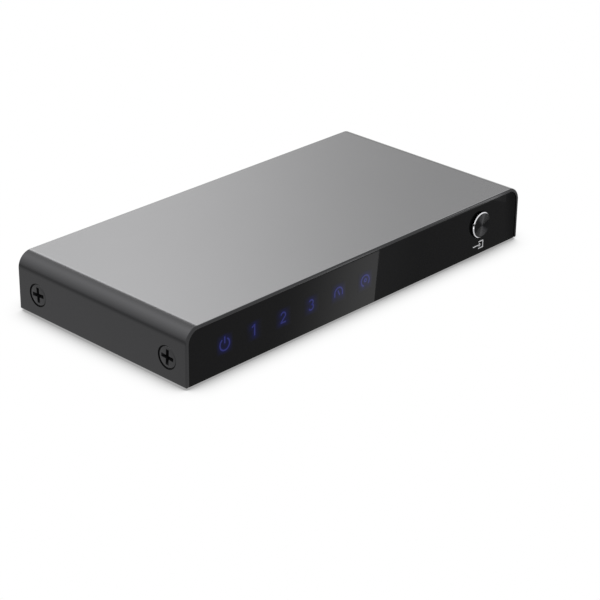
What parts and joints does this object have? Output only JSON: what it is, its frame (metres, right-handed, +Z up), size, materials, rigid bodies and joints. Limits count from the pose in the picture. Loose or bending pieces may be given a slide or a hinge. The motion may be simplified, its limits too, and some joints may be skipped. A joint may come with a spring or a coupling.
{
  "type": "video switch box",
  "caption": "Low flat video switch box: bent metal cover, gloss front panel with lit symbols and a push button, video, sound, optical and power sockets at the back.",
  "frame": {"origin": "on the table under the middle of the case", "axes": "+X along the front to the right as seen from the front, front faces -Y, +Z up"},
  "size_m": [0.138, 0.0689, 0.0176],
  "materials": {
    "cover": "dark anodised satin",
    "tray": "fine-textured black powder coat",
    "screw": "black oxide",
    "rubber": "matte",
    "panel": "high-gloss black acrylic",
    "tape": "black foam tape",
    "black_plastic": "moulded matt black",
    "light_guide": "clear moulded",
    "led": "cast resin",
    "ir_filter": "dark infra-red filter resin",
    "button": "spun dark face with a bright cut edge",
    "plunger": "moulded",
    "board": "green solder mask",
    "brass": "turned",
    "steel": "zinc plated",
    "tin": "tin-plated sheet",
    "gold": "gold plated",
    "emitter": "red resin",
    "chip": "moulded epoxy",
    "pad": "silicone",
    "heat_sink": "extruded"
  },
  "bodies": {
    "case": {"top_cover": "cover", "base_tray": "tray", "rear_panel": "tray", "cover_screws": "screw", "rubber_feet": "rubber", "front_panel": "panel", "panel_tape": "tape", "light_baffle": "black_plastic", "light_guides": "light_guide", "indicator_leds": "led", "ir_receiver": "ir_filter", "switch_body": "black_plastic", "main_board": "board", "board_spacers": "brass", "board_screws": "steel", "power_socket": "black_plastic", "power_pin": "gold", "sound_socket": "black_plastic", "optical_socket": "black_plastic", "optical_emitter": "emitter", "switch_chip": "chip", "thermal_pad": "pad", "heat_sink": "heat_sink", "control_chip": "chip", "sound_chip": "chip", "crystal": "tin", "capacitors": "tin", "power_coil": "chip", "regulator": "chip", "video_shell_input_1": "tin", "video_tongue_input_1": "black_plastic", "video_contacts_input_1": "gold", "video_shell_input_2": "tin", "video_tongue_input_2": "black_plastic", "video_contacts_input_2": "gold", "video_shell_input_3": "tin", "video_tongue_input_3": "black_plastic", "video_contacts_input_3": "gold", "video_shell_output": "tin", "video_tongue_output": "black_plastic", "video_contacts_output": "gold"},
    "select_button": {"button_cap": "button", "button_stem": "black_plastic"},
    "switch_plunger": {"switch_plunger": "plunger"},
    "optical_shutter": {"optical_shutter": "black_plastic"}
  },
  "joints": [
    {"name": "button_press", "type": "slide", "parent": "case", "child": "select_button", "axis": [0, 1, 0], "range_m": [0, 0.0004], "stiffness_N_per_m": 3000},
    {"name": "plunger_travel", "type": "slide", "parent": "case", "child": "switch_plunger", "axis": [0, 1, 0], "range_m": [0, 0.0006]},
    {"name": "shutter_swing", "type": "hinge", "parent": "case", "child": "optical_shutter", "pos_m": [-0.04345, 0.0327, 0.0131], "axis": [-1, 0, 0], "range_deg": [0, 85], "stiffness_Nm_per_rad": 0.0004}
  ],
  "couplings": [
    {"joint": "plunger_travel", "follows": "button_press", "ratio": 1}
  ]
}
